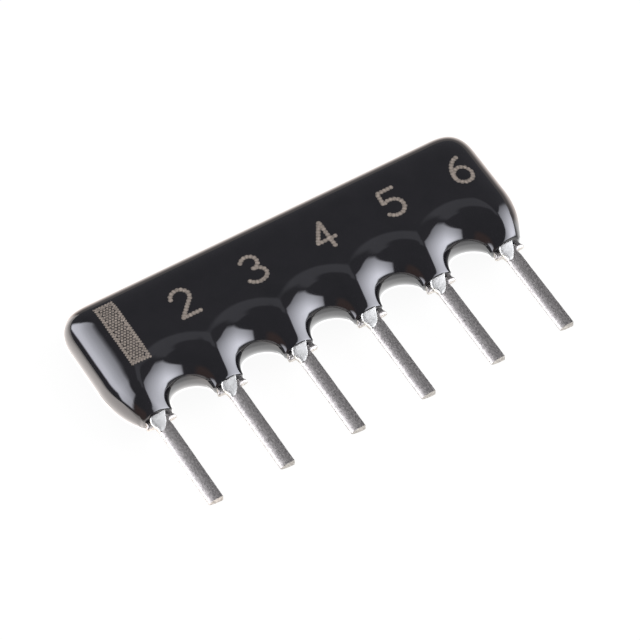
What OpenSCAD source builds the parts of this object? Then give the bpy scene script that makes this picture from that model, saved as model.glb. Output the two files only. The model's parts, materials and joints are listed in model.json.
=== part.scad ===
// Bussed resistor network: a thick-film ceramic plate with clip-on terminals in a row,
// dipped in black epoxy that is scalloped between the legs.
// X runs along the row, +Y from the lead tips to the top edge, +Z out of the marked face.
// The origin is the middle of the lead row, on the seating plane and in the leads' mid-plane.
// All sizes are in millimetres.

/* [Leads] */
// Number of leads in the row
lead_count = 6; // [4:1:9]
// Distance from lead to lead
pitch = 2.54; // [2.4:0.02:3]
// Width of a lead
lead_w = 0.51; // [0.4:0.01:0.6]
// Thickness of the lead strip
lead_t = 0.25; // [0.18:0.01:0.28]
// Length of a lead below the seating plane
lead_len = 3.3; // [2:0.1:6]
// Radius of the tinned long edges of a lead
lead_edge_r = 0.06; // [0.02:0.01:0.08]
// Length of the taper at the sheared tip
tip_taper_len = 0.12; // [0.05:0.01:0.3]
// How far the tip is narrowed on each side
tip_taper_in = 0.05; // [0.02:0.01:0.12]

/* [Clip] */
// Width of the shoulder that sits on the board
shoulder_w = 1.04; // [0.9:0.01:1.1]
// Height of the shoulder plate above the seating plane
shoulder_h = 0.25; // [0.2:0.01:0.26]
// Radius of the lower shoulder corners
shoulder_r = 0.1; // [0.04:0.01:0.15]
// Width of the tine that grips the front of the plate
front_tine_w = 0.4; // [0.3:0.01:0.5]
// Slit between the front tine and each rear tine
slit_w = 0.08; // [0.05:0.01:0.1]
// Step from the side of the shoulder to the side of a rear tine
tine_step = 0.06; // [0.05:0.01:0.08]
// Height at which the front tine reaches the front of the plate
front_jog_top = 1; // [0.95:0.01:1.1]
// Distance from the end of the rear jog to the plate's lower edge
rear_jog_gap = 0.1; // [0.06:0.01:0.3]
// How far the front tine laps over the plate
front_grip = 1.1; // [0.7:0.05:1.15]
// How far the rear tines lap over the plate
rear_grip = 0.95; // [0.6:0.05:1.2]
// Length of the flared end of each tine
flare_len = 0.18; // [0.1:0.01:0.3]
// Lift of the flared end away from the plate
flare_lift = 0.05; // [0.02:0.01:0.08]
// Radius of the bends, at the middle of the strip
bend_r = 0.18; // [0.15:0.01:0.2]

/* [Ceramic plate] */
// Thickness of the plate
plate_t = 0.635; // [0.5:0.005:0.8]
// Height of the plate
plate_h = 3.4; // [3.2:0.05:4]
// Length of the plate past the films at its two ends
plate_side = 0.15; // [0.12:0.01:0.4]
// Height of the plate's lower edge above the seating plane
plate_lift = 1.3; // [1.26:0.01:1.5]

/* [Films] */
// Thickness of the conductor film
conductor_t = 0.015; // [0.01:0.001:0.02]
// Thickness of the resistor film
resistor_t = 0.022; // [0.021:0.001:0.03]
// Thickness of the overglaze above the plate
glaze_t = 0.05; // [0.045:0.001:0.08]
// Width of a pad
pad_w = 0.8; // [0.6:0.01:1]
// Height of a pad
pad_h = 1.7; // [1.6:0.01:1.8]
// Margin of a pad's head, and of the common conductor, around the end of a resistor
head_edge = 0.05; // [0.03:0.01:0.1]
// Height of the soldered part of a pad
solder_h = 1.35; // [1.3:0.01:1.4]
// Width of the common conductor along the top edge
bus_w = 0.5; // [0.4:0.01:0.6]
// Distance from the common conductor to the plate's top edge
bus_edge = 0.2; // [0.15:0.01:0.3]
// Width of a resistor
resistor_w = 1.1; // [0.9:0.05:1.7]
// Lap of a resistor on the conductors at its ends
resistor_lap = 0.2; // [0.1:0.01:0.25]
// Width of the laser trim cut
trim_w = 0.06; // [0.03:0.01:0.1]
// Length of the turned end of the trim cut
trim_hook = 0.25; // [0.15:0.01:0.3]
// Depth of the shallowest trim cut
trim_depth = 0.4; // [0.3:0.01:0.45]
// How much deeper the next trim cut is
trim_step = 0.06; // [0:0.01:0.08]
// Margin of the overglaze inside the plate's edges
glaze_edge = 0.1; // [0.05:0.01:0.14]

/* [Solder] */
// Thickness of the solder between the front tine and its pad
solder_film = 0.01; // [0.005:0.001:0.02]
// Thickness of the solder over the front tine
solder_skin = 0.06; // [0.04:0.01:0.08]
// Width of the solder below the plate
solder_neck_w = 0.5; // [0.46:0.01:0.56]
// Length of the solder fillet below the seating plane
fillet_drop = 0.28; // [0.15:0.01:0.4]
// Width of the fillet where it runs out on the lead
fillet_tip_w = 0.34; // [0.2:0.01:0.4]
// Height of the fillet above the lead at the leg ends
fillet_h = 0.15; // [0.08:0.01:0.16]
// Thickness of the solder at the upper end of a pad
solder_toe = 0.03; // [0.02:0.01:0.08]
// Length of the slope at the upper end of a pad
solder_slope = 0.15; // [0.1:0.01:0.2]

/* [Epoxy coat] */
// Thickness of the coat over the ends of the plate
coat_end = 0.38; // [0.35:0.01:0.6]
// Thickness of the coat over the top edge of the plate
coat_top = 0.38; // [0.35:0.01:0.6]
// Height of the marked face above the leads' mid-plane
coat_front = 1.02; // [0.95:0.01:1.3]
// Depth of the back below the leads' mid-plane
coat_back = 1.02; // [0.95:0.01:1.3]
// Width of the rounding from the outline to the flat face
edge_round = 1.3; // [1.2:0.05:1.5]
// How strongly neighbouring roundings stay apart
edge_blend = 3; // [2.6:0.1:4]
// Depth of the flat that the part lies on
back_flat = 0.02; // [0.01:0.005:0.04]
// Height of the leg ends above the seating plane
leg_lift = 0.28; // [0.28:0.01:0.32]
// Width of the coat beside the shoulder, at the leg ends
leg_cover = 0.03; // [0.03:0.01:0.08]
// Height of the arches above the leg ends
arch_rise = 0.7; // [0.6:0.01:0.75]
// Height over which the two ends draw in to the outer legs
end_draft_h = 1.8; // [1:0.05:2]
// How far below the leg ends the front would run out to nothing
front_runout = 0.17; // [0.16:0.01:0.3]
// How far below the leg ends the back would run out to nothing
back_runout = 0.17; // [0.16:0.01:0.3]

/* [Hidden] */
$fn = 32;

// Small overlap that makes cuts run clean through
eps = 0.01;
// Thickness of the rim where the front and back of the coat meet
rim_t = 0.04;
// Steps of the coat's surface over a rounded end, a leg, an arch and its height
end_steps = 6;
leg_steps = 6;
arch_steps = 10;
row_steps = 15;
// Steps along a bend of the strip
bend_steps = 5;
// Lead that feeds the common conductor
common_lead = 1;

row_len = (lead_count - 1) * pitch;
front_face = plate_t / 2;
film_face = front_face + conductor_t;
head_half = resistor_w / 2 + head_edge;
plate_top = plate_lift + plate_h;
plate_len = row_len + 2 * (head_half + plate_side);
rear_tine_w = (shoulder_w - front_tine_w) / 2 - slit_w - tine_step;
rear_jog_top = plate_lift - rear_jog_gap;
front_tine_z = film_face + solder_film + lead_t / 2;
rear_tine_z = -front_face - lead_t / 2;
solder_top = plate_lift + solder_h;
pad_top = plate_lift + pad_h;
bus_top = plate_top - bus_edge;
bus_bottom = bus_top - bus_w;
body_half = plate_len / 2 + coat_end;
body_top = plate_top + coat_top;
leg_half = shoulder_w / 2 + leg_cover;
arch_half = pitch / 2 - leg_half;
end_draft = body_half - row_len / 2 - leg_half;

leads = [1 : lead_count];
resistors = [1 : lead_count - 1];

function lead_x(i) = (i - (lead_count + 1) / 2) * pitch;

// Bent strip

function unit(v) = v / norm(v);
function left_of(v) = [-v.y, v.x];
function mix(a, b, s) = a + (b - a) * s;

// Points of the arc that rounds corner b of the path a, b, c.
function bend(a, b, c, r) =
  let (
    into = unit(b - a),
    out = unit(c - b),
    side = (into.x * out.y - into.y * out.x) < 0 ? -1 : 1,
    turn = acos(into * out),
    start = b - into * r * tan(turn / 2),
    centre = start + left_of(into) * side * r
  )
  [for (k = [0 : bend_steps])
    let (angle = side * turn * k / bend_steps)
    centre - side * r * (left_of(into) * cos(angle) - into * sin(angle))];

// A path with its inner corners rounded.
function bent_path(p, r) = concat(
  [p[0]],
  [for (k = [1 : len(p) - 2]) each bend(p[k - 1], p[k], p[k + 1], r)],
  [p[len(p) - 1]]
);

// Direction of a path at one of its points.
function along(p, k) =
  k == 0 ? unit(p[1] - p[0])
  : k == len(p) - 1 ? unit(p[k] - p[k - 1])
  : unit(unit(p[k] - p[k - 1]) + unit(p[k + 1] - p[k]));

// Half the strip's thickness, widened at a corner so that both sides stay parallel.
function half_strip(p, k, t) =
  k == 0 || k == len(p) - 1 ? t / 2 : t / 2 / (along(p, k) * unit(p[k + 1] - p[k]));

// Outline of a strip of thickness t along a path.
function strip(p, t) = concat(
  [for (k = [0 : len(p) - 1]) p[k] + left_of(along(p, k)) * half_strip(p, k, t)],
  [for (k = [len(p) - 1 : -1 : 0]) p[k] - left_of(along(p, k)) * half_strip(p, k, t)]
);

// Extrudes a profile drawn in Y and Z along X, centred.
module across_row(width) {
  rotate([90, 0, 90]) linear_extrude(width, center = true) children();
}

// Extrudes a profile drawn in X and Z from y0 to y1.
module up_body(y0, y1) {
  translate([0, y1, 0]) rotate([90, 0, 0]) linear_extrude(y1 - y0) children();
}

// Extrudes a plan drawn in X and Y from z0 to z1.
module out_of_face(z0, z1) {
  translate([0, 0, z0]) linear_extrude(z1 - z0) children();
}

// Rectangle in plan between two corners.
module field(x0, y0, x1, y1) {
  polygon([[x0, y0], [x1, y0], [x1, y1], [x0, y1]]);
}

// Terminals

module lead_section() {
  square([lead_w - 2 * lead_edge_r, lead_t], center = true);
  square([lead_w, lead_t - 2 * lead_edge_r], center = true);
  for (sx = [-1, 1], sz = [-1, 1])
    translate([sx * (lead_w / 2 - lead_edge_r), sz * (lead_t / 2 - lead_edge_r)])
      circle(lead_edge_r);
}

// Plan of a lead with its tapered tip.
module lead_plan(top) {
  tip = -lead_len;
  half = lead_w / 2;
  polygon([
    [-half, top], [-half, tip + tip_taper_len], [-half + tip_taper_in, tip],
    [half - tip_taper_in, tip], [half, tip + tip_taper_len], [half, top]
  ]);
}

// Side view of a lead, its tip thinned by the shear.
module lead_side(top) {
  tip = -lead_len;
  half = lead_t / 2;
  polygon([
    [top, half], [tip + tip_taper_len, half], [tip, half - tip_taper_in],
    [tip, -half], [top, -half]
  ]);
}

module lead_blade() {
  top = shoulder_h / 2;
  intersection() {
    up_body(-lead_len, top) lead_section();
    out_of_face(-lead_t, lead_t) lead_plan(top);
    across_row(lead_w + eps) lead_side(top);
  }
}

module shoulder_plan() {
  half = shoulder_w / 2;
  field(-half, shoulder_r, half, shoulder_h);
  field(-half + shoulder_r, 0, half - shoulder_r, shoulder_h);
  for (side = [-1, 1])
    translate([side * (half - shoulder_r), shoulder_r]) circle(shoulder_r);
}

// A tine that jogs from the shoulder to the level z, then runs up the plate and flares away from it.
module tine(width, jog_top, z, grip) {
  top = plate_lift + grip;
  away = z > 0 ? flare_lift : -flare_lift;
  path = [
    [shoulder_h / 2, 0], [shoulder_h, 0], [jog_top, z],
    [top - flare_len, z], [top, z + away]
  ];
  across_row(width) polygon(strip(bent_path(path, bend_r), lead_t));
}

// One stamped terminal: a lead, its shoulder, one tine in front of the plate and two behind it.
module terminal(i) {
  color("silver") translate([lead_x(i), 0, 0]) {
    lead_blade();
    out_of_face(-lead_t / 2, lead_t / 2) shoulder_plan();
    tine(front_tine_w, front_jog_top, front_tine_z, front_grip);
    for (side = [-1, 1])
      translate([side * ((shoulder_w - rear_tine_w) / 2 - tine_step), 0, 0])
        tine(rear_tine_w, rear_jog_top, rear_tine_z, rear_grip);
  }
}

// Ceramic plate and films

module ceramic_plate() {
  color("ivory")
    out_of_face(-front_face, front_face)
      field(-plate_len / 2, plate_lift, plate_len / 2, plate_top);
}

// A pad, with a head that is wider than the end of the resistor on it.
module pad_plan(i) {
  head_low = pad_top - resistor_lap - head_edge;
  field(lead_x(i) - pad_w / 2, plate_lift, lead_x(i) + pad_w / 2, pad_top);
  field(lead_x(i) - head_half, head_low, lead_x(i) + head_half, pad_top);
}

// The common lead's pad runs up to a strip along the top edge, which feeds every resistor.
module common_plan() {
  left = lead_x(common_lead) - pad_w / 2;
  field(left, plate_lift, left + pad_w, bus_top);
  field(left, bus_bottom, lead_x(lead_count) + head_half, bus_top);
}

// A conductor film, begun a little inside the plate where it cuts another film.
module conductor_film(sink = 0) {
  out_of_face(front_face - sink, film_face) children();
}

module common_conductor() {
  color("lightgray") conductor_film() common_plan();
}

module pad(i) {
  color("lightgray") conductor_film() pad_plan(i);
}

// Side view of a resistor from the level z up, with steps over the conductors at its two ends.
module resistor_side(z) {
  low = front_face + resistor_t;
  high = film_face + resistor_t;
  polygon([
    [pad_top - resistor_lap, z], [bus_bottom + resistor_lap, z], [bus_bottom + resistor_lap, high],
    [bus_bottom, high], [bus_bottom, low], [pad_top, low], [pad_top, high], [pad_top - resistor_lap, high]
  ]);
}

// Each resistor is trimmed to its value by a hooked cut of its own depth.
module trim_cut_plan(i) {
  side = -resistor_w / 2;
  end = side + trim_depth + trim_step * (2 * i % lead_count);
  level = pad_top + 2 * trim_w;
  field(side - eps, level, end, level + trim_w);
  field(end - trim_w, level, end, level + trim_hook);
}

// A trimmed resistor together with the conductors under its two ends.
module resistor_form(i, sink = 0) {
  translate([lead_x(i + 1), 0, 0]) difference() {
    across_row(resistor_w) resistor_side(front_face - sink);
    out_of_face(front_face - 2 * eps, front_face + glaze_t) trim_cut_plan(i);
  }
}

module resistor(i) {
  color("darkslategray") difference() {
    resistor_form(i);
    conductor_film(eps) pad_plan(i + 1);
    conductor_film(eps) common_plan();
  }
}

module overglaze_block(sink = 0) {
  out_of_face(front_face - sink, front_face + glaze_t)
    field(-plate_len / 2 + glaze_edge, solder_top, plate_len / 2 - glaze_edge, plate_top - glaze_edge);
}

// The glaze fills every step and cut of the films that it covers.
module overglaze() {
  color("darkseagreen") difference() {
    overglaze_block();
    conductor_film(eps) common_plan();
    for (i = resistors) {
      conductor_film(eps) pad_plan(i + 1);
      resistor_form(i, eps);
    }
  }
}

// Solder

// Side view of the solder from the level z up, from its run-out on the lead to the end of the pad.
module solder_side(z) {
  skin_z = front_tine_z + lead_t / 2 + solder_skin;
  polygon([
    [-fillet_drop, lead_t / 2], [leg_lift, lead_t / 2 + fillet_h], [front_jog_top, skin_z],
    [solder_top - solder_slope, skin_z], [solder_top, film_face + solder_toe], [solder_top, z],
    [plate_lift, z], [plate_lift, front_tine_z], [front_jog_top, front_tine_z],
    [shoulder_h, lead_t / 2]
  ]);
}

module solder_plan() {
  field(-pad_w / 2, plate_lift, pad_w / 2, solder_top);
  polygon([
    [-fillet_tip_w / 2, -fillet_drop], [fillet_tip_w / 2, -fillet_drop],
    [solder_neck_w / 2, leg_lift], [solder_neck_w / 2, plate_lift + eps],
    [-solder_neck_w / 2, plate_lift + eps], [-solder_neck_w / 2, leg_lift]
  ]);
}

// The solder mound over a pad from the level z up, with the tine still inside it.
module solder_form(i, z) {
  translate([lead_x(i), 0, 0]) intersection() {
    across_row(pad_w) solder_side(z);
    out_of_face(0, coat_front) solder_plan();
  }
}

module solder_joint(i) {
  color("gainsboro") difference() {
    solder_form(i, film_face);
    terminal(i);
  }
}

// Epoxy coat

// Distance inside the end's outline, which draws in towards the leg ends.
function end_inset(y) =
  let (low = max(0, leg_lift + end_draft_h - y) / end_draft_h)
  end_draft * low * low;
function end_gap(x, y) = body_half - end_inset(y) - abs(x);

// Distance outside the half-ellipse of an arch whose middle is dx away.
function arch_gap(dx, dy) =
  let (
    ratio = norm([dx / arch_half, dy / arch_rise]),
    slope = norm([dx / pow(arch_half, 2), dy / pow(arch_rise, 2)])
  )
  slope == 0 ? -min(arch_half, arch_rise) : (ratio - 1) * ratio / slope;

// How far a point lies into the rounding of an edge that is a given distance away: 1 on the edge.
function nearness(gap) = pow(max(0, 1 - max(0, gap) / edge_round), edge_blend);

function arches_near(x, y) = [for (i = resistors)
  let (dx = x - lead_x(i) - pitch / 2)
  if (abs(dx) < arch_half + edge_round) nearness(arch_gap(dx, y - leg_lift))];

function sum(list) = list * [for (v = list) 1];

// Share of the full half-thickness at a point: an elliptic edge along the whole outline,
// times a run-out over the legs.
function fullness(x, y, runout) =
  let (
    edges = [nearness(end_gap(x, y)), nearness(body_top - y)],
    edge = pow(sum(concat(edges, arches_near(x, y))), 1 / edge_blend),
    leg = max(0, 1 - (y - leg_lift + runout) / edge_round)
  )
  edge >= 1 ? 0 : sqrt((1 - edge * edge) * (1 - leg * leg));

// Lower outline of the coat: drawn-in ends, arches and level leg ends.
function coat_low(x) =
  let (
    past = abs(x) - (body_half - end_draft),
    rise = [for (i = resistors)
      let (u = (x - lead_x(i) - pitch / 2) / arch_half)
      if (abs(u) < 1) arch_rise * sqrt(1 - u * u)]
  )
  past > 0 ? leg_lift + end_draft_h * (1 - sqrt(max(0, body_half - abs(x)) / end_draft))
  : leg_lift + sum(concat([0], rise));

// Upper outline of the coat, with its two rounded corners.
function coat_high(x) =
  body_top - edge_round * (1 - pow(1 - nearness(body_half - abs(x)), 1 / edge_blend));

// Places of the surface's columns along the row, closer together where the outline turns.
end_columns = [for (k = [0 : end_steps - 1]) body_half - end_draft * pow(k / end_steps, 2)];
coat_columns = concat(
  [for (x = end_columns) -x],
  [for (i = leads) each concat(
    [for (k = [0 : leg_steps - 1]) lead_x(i) - leg_half * cos(180 * k / leg_steps)],
    i == lead_count ? [lead_x(i) + leg_half]
    : [for (k = [0 : arch_steps - 1]) lead_x(i) + pitch / 2 - arch_half * cos(180 * k / arch_steps)]
  )],
  [for (k = [end_steps - 1 : -1 : 0]) end_columns[k]]
);

function coat_y(x, row) = mix(coat_low(x), coat_high(x), (1 - cos(180 * row / row_steps)) / 2);

// Points of one side of the coat, front (+1) or back (-1), at its full height or depth.
function coat_side(side, full, runout) = [
  for (x = coat_columns, row = [0 : row_steps])
    let (y = coat_y(x, row))
    [x, y, side * max(fullness(x, y, runout) * full, rim_t / 2)]
];

rows = row_steps + 1;
columns = len(coat_columns);

function grid_faces(base, flip) = [
  for (c = [0 : columns - 2], r = [0 : row_steps - 1], half = [0, 1])
    let (
      a = base + c * rows + r,
      corners = half == 0 ? [a, a + 1, a + rows + 1] : [a, a + rows + 1, a + rows]
    )
    flip ? [corners[2], corners[1], corners[0]] : corners
];

// Indices of the outline on one side, once around the grid.
function rim(base) = concat(
  [for (c = [0 : columns - 2]) base + c * rows],
  [for (r = [0 : row_steps - 1]) base + (columns - 1) * rows + r],
  [for (c = [columns - 1 : -1 : 1]) base + c * rows + row_steps],
  [for (r = [row_steps : -1 : 1]) base + r]
);

module coat_form() {
  back = columns * rows;
  front_rim = rim(0);
  back_rim = rim(back);
  around = len(front_rim);
  polyhedron(
    points = concat(coat_side(1, coat_front, front_runout), coat_side(-1, coat_back, back_runout)),
    faces = concat(
      grid_faces(0, false),
      grid_faces(back, true),
      [for (k = [0 : around - 1], half = [0, 1])
        let (n = (k + 1) % around)
        half == 0 ? [front_rim[k], front_rim[n], back_rim[n]] : [front_rim[k], back_rim[n], back_rim[k]]]
    )
  );
}

// The coat is moulded to everything that it covers, and is flat where it lies.
module epoxy_coat() {
  color([0.11, 0.11, 0.12]) difference() {
    coat_form();
    out_of_face(-2 * coat_back, back_flat - coat_back) field(-body_half, 0, body_half, body_top);
    ceramic_plate();
    overglaze_block(eps);
    for (i = leads) {
      terminal(i);
      solder_form(i, front_face - eps);
    }
  }
}

epoxy_coat();
ceramic_plate();
common_conductor();
overglaze();
for (i = resistors) {
  pad(i + 1);
  resistor(i);
}
for (i = leads) {
  terminal(i);
  solder_joint(i);
}
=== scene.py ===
# %% [markdown]
# # A dipped resistor network
# The part is a ceramic plate with printed resistors, held by a row of clip-on terminals and dipped in
# glossy black epoxy. It is only 15 mm long, so its looks rest on three things: the soft form of the coat,
# the solder on the leads, and the reflections of the studio in both.
# The measured solids are loaded first. They fix every size and place, and nothing here moves them.

# %% The measured part
import json
import math

import bmesh
import bpy
from mathutils import Matrix, Vector


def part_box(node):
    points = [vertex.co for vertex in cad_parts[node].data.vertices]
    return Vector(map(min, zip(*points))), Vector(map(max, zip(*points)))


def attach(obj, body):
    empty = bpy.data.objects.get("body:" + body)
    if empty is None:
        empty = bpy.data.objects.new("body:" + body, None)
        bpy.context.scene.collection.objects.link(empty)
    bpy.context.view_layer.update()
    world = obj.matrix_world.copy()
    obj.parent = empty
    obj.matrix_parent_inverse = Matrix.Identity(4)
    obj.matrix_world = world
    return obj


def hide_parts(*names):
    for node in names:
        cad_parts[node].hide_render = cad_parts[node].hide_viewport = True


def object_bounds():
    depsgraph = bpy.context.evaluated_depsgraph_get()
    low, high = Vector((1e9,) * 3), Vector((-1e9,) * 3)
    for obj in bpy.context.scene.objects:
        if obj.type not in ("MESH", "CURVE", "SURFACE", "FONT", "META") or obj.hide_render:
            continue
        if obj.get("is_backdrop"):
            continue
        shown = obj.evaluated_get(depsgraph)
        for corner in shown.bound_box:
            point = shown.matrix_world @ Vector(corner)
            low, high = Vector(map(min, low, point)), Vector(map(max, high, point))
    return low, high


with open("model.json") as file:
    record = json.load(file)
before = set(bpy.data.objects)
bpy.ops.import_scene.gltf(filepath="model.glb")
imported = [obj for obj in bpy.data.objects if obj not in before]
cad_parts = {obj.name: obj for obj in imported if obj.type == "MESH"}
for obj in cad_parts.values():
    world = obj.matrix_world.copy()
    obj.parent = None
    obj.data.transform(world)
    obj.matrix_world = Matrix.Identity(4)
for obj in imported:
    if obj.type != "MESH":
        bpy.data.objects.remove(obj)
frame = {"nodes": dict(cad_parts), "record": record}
cad_low, cad_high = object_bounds()

MM = 0.001
scene = bpy.context.scene
scene.view_settings.view_transform = "Standard"
print("solids:", len(frame["nodes"]), "box in mm:", [round(v / MM, 2) for v in cad_high - cad_low])

# %% [markdown]
# The driving sizes come from the solids' own boxes: where the coat ends, how far apart the leads stand,
# and the plane that the part lies on. A few more numbers describe how the dip rounds the coat's edges.

# %% Sizes
coat_low, coat_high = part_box("epoxy_coat")
body_half = coat_high.x
body_top = coat_high.y
leg_lift = coat_low.y
face_z = coat_high.z
rest_z = coat_low.z

lead_count = sum(name.startswith("terminal_") for name in frame["nodes"])
leads = range(1, lead_count + 1)
terminal_low, terminal_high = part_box("terminal_1")
first_x = (terminal_low.x + terminal_high.x) / 2
shoulder_half = (terminal_high.x - terminal_low.x) / 2
tip_y = terminal_low.y
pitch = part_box("terminal_2")[0].x - terminal_low.x

edge_round = 1.3 * MM
edge_blend = 3.0
leg_cover = 0.03 * MM
arch_rise = 0.7 * MM
end_draft_h = 1.8 * MM
rim_t = 0.04 * MM
corner_round = 0.12 * MM
leg_half = shoulder_half + leg_cover
arch_half = pitch / 2 - leg_half
end_draft = body_half + first_x - leg_half
print("leads:", lead_count, "pitch in mm:", round(pitch / MM, 3))
print("arch width in mm:", round(2 * arch_half / MM, 3))

# %% [markdown]
# ## Camera
# The photograph was taken from the left and well above, with a long lens. A camera is a matrix whose
# columns are its right, up and back directions and its place, so the three angles and the distance that
# were fitted to the lead tips are turned into that matrix directly. The image is square.

# %% Camera
view_azimuth = math.radians(-29.645)
view_elevation = math.radians(54.033)
view_roll = math.radians(-1.258)
view_distance = 141.615 * MM
view_aim = Vector((-0.139, 0.948, 0)) * MM
image_px = 640
focal_px = 4500
sensor_mm = 36

back = Vector((
    math.sin(view_azimuth) * math.cos(view_elevation),
    -math.cos(view_azimuth) * math.cos(view_elevation),
    math.sin(view_elevation),
))
level = Vector((math.cos(view_azimuth), math.sin(view_azimuth), 0))
upright = back.cross(level)
right = level * math.cos(view_roll) + upright * math.sin(view_roll)
up = upright * math.cos(view_roll) - level * math.sin(view_roll)

camera = bpy.data.objects.new("camera", bpy.data.cameras.new("camera"))
turn_to_view = Matrix((right, up, back)).transposed().to_4x4()
camera.matrix_world = Matrix.Translation(view_aim + back * view_distance) @ turn_to_view
camera.data.sensor_width = sensor_mm
camera.data.lens = focal_px * sensor_mm / image_px
camera.data.clip_start = 1 * MM
scene.collection.objects.link(camera)
scene.camera = camera
print("camera lens in mm:", round(camera.data.lens, 1))

# %% [markdown]
# ## Formulas as nodes
# Node trees can hold formulas, but a Math node for each plus and minus is slow to write and to read.
# The small class below stands for a number that flows through a tree. Arithmetic on it adds the Math
# nodes, so that the coat's form, the finishes and the studio can all be written as plain formulas.

# %% Numbers in a tree
def feed(tree, socket, value):
    """Links a flowing number to a socket, or sets a fixed value on it."""
    if isinstance(value, Number):
        tree.links.new(value.socket, socket)
    elif isinstance(value, bpy.types.NodeSocket):
        tree.links.new(value, socket)
    else:
        socket.default_value = value


def calc(operation, *values):
    """Adds one Math node. At least one of the values flows through a tree."""
    tree = next(value.tree for value in values if isinstance(value, Number))
    node = tree.nodes.new("ShaderNodeMath")
    node.operation = operation
    for socket, value in zip(node.inputs, values):
        feed(tree, socket, value)
    return Number(node.outputs[0])


class Number:
    """A number that flows through a node tree."""

    def __init__(self, socket):
        self.socket = socket
        self.tree = socket.id_data

    def __add__(self, other):
        return calc("ADD", self, other)

    def __radd__(self, other):
        return calc("ADD", other, self)

    def __sub__(self, other):
        return calc("SUBTRACT", self, other)

    def __rsub__(self, other):
        return calc("SUBTRACT", other, self)

    def __mul__(self, other):
        return calc("MULTIPLY", self, other)

    def __rmul__(self, other):
        return calc("MULTIPLY", other, self)

    def __truediv__(self, other):
        return calc("DIVIDE", self, other)

    def __rtruediv__(self, other):
        return calc("DIVIDE", other, self)

    def __pow__(self, other):
        return calc("POWER", self, other)

    def __abs__(self):
        return calc("ABSOLUTE", self)


def at_least(value, floor):
    return calc("MAXIMUM", value, floor)


def at_most(value, ceiling):
    return calc("MINIMUM", value, ceiling)


def share(value):
    """A number held between 0 and 1."""
    return at_most(at_least(value, 0.0), 1.0)


def length(a, b):
    return calc("SQRT", a * a + b * b)


def add_node(tree, kind, **inputs):
    """Adds a node and feeds its inputs by name."""
    node = tree.nodes.new(kind)
    for label, value in inputs.items():
        feed(tree, node.inputs[label.replace("_", " ")], value)
    return node


# %% [markdown]
# ## Running a Geometry Nodes tree
# Each tree gets named inputs for its sizes. A modifier takes its values by the socket's identifier, so
# the helper looks that up by name. The evaluated result is then kept as a plain mesh, so that a finished
# piece does not depend on live nodes.

# %% Tree helpers
def new_tree(name, sizes, materials=("Finish",), objects=()):
    """A Geometry Nodes tree with one named input for each size, material and object."""
    tree = bpy.data.node_groups.new(name, "GeometryNodeTree")
    face = tree.interface
    face.new_socket("Geometry", in_out="OUTPUT", socket_type="NodeSocketGeometry")
    face.new_socket("Geometry", in_out="INPUT", socket_type="NodeSocketGeometry")
    for labels, kind in ((sizes, "Float"), (materials, "Material"), (objects, "Object")):
        for label in labels:
            face.new_socket(label, in_out="INPUT", socket_type="NodeSocket" + kind)
    start = tree.nodes.new("NodeGroupInput")
    end = tree.nodes.new("NodeGroupOutput")
    given = {socket.name: socket for socket in start.outputs if socket.name}
    for label in sizes:
        given[label] = Number(given[label])
    return tree, given, end.inputs["Geometry"]


def place_of(tree):
    """The X, Y and Z of each point, as flowing numbers."""
    position = tree.nodes.new("GeometryNodeInputPosition")
    parts = add_node(tree, "ShaderNodeSeparateXYZ", Vector=position.outputs["Position"])
    return [Number(socket) for socket in parts.outputs]


def vector_of(tree, x, y, z):
    return add_node(tree, "ShaderNodeCombineXYZ", X=x, Y=y, Z=z).outputs["Vector"]


def grow(piece, tree, values):
    """Runs a tree on a piece and keeps the result as a plain mesh."""
    modifier = piece.modifiers.new(tree.name, "NODES")
    modifier.node_group = tree
    for item in tree.interface.items_tree:
        if item.in_out == "INPUT" and item.name in values:
            modifier[item.identifier] = values[item.name]
    depsgraph = bpy.context.evaluated_depsgraph_get()
    grown = bpy.data.meshes.new_from_object(piece.evaluated_get(depsgraph))
    piece.modifiers.remove(modifier)
    piece.data = grown
    print(piece.name, "has", len(grown.polygons), "faces")
    return piece


def new_piece(name, mesh):
    piece = bpy.data.objects.new(name, mesh)
    scene.collection.objects.link(piece)
    return piece


def new_mesh(name, points, faces):
    mesh = bpy.data.meshes.new(name)
    mesh.from_pydata(points, [], faces)
    mesh.update()
    return mesh


# %% [markdown]
# ## Finishes
# Every finish is a small set of nodes on Object coordinates, so it stays put from any side. Noise at the
# right scale matters most on a part this small: the grain of dipped tin is a few hundredths of a
# millimetre, and the epoxy has a faint unevenness that only shows in its reflections.

# %% Finish helpers
def new_finish(name):
    """A material with its Principled shader, and its Object coordinates."""
    material = bpy.data.materials.new(name)
    material.use_nodes = True
    tree = material.node_tree
    shader = tree.nodes["Principled BSDF"]
    spot = tree.nodes.new("ShaderNodeTexCoord").outputs["Object"]
    return material, tree, shader, spot


def noise(tree, spot, grain_mm, detail=3.0, roughness=0.55, stretch=(1, 1, 1)):
    """Noise whose blobs are about grain_mm across, stretched along the axes if asked."""
    if stretch != (1, 1, 1):
        mapping = add_node(tree, "ShaderNodeMapping", Vector=spot)
        mapping.inputs["Scale"].default_value = [1 / s for s in stretch]
        spot = mapping.outputs["Vector"]
    node = add_node(tree, "ShaderNodeTexNoise", Vector=spot)
    node.inputs["Scale"].default_value = 1 / (grain_mm * MM)
    node.inputs["Detail"].default_value = detail
    node.inputs["Roughness"].default_value = roughness
    return Number(node.outputs[0])


def spread(value, low, high):
    """Noise hangs around 0.5, so its middle part is stretched to a full share and then mapped."""
    return low + share((value - 0.3) / 0.4) * (high - low)


def paint(tree, shader, value, dark, light):
    """Colours a finish between two tones, by a number between 0 and 1."""
    node = tree.nodes.new("ShaderNodeMix")
    node.data_type = "RGBA"
    # A Mix node has sockets for every type. These are its factor, its two colours and its result.
    feed(tree, node.inputs[0], value)
    node.inputs[6].default_value = (*dark, 1)
    node.inputs[7].default_value = (*light, 1)
    tree.links.new(node.outputs[2], shader.inputs["Base Color"])


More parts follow.
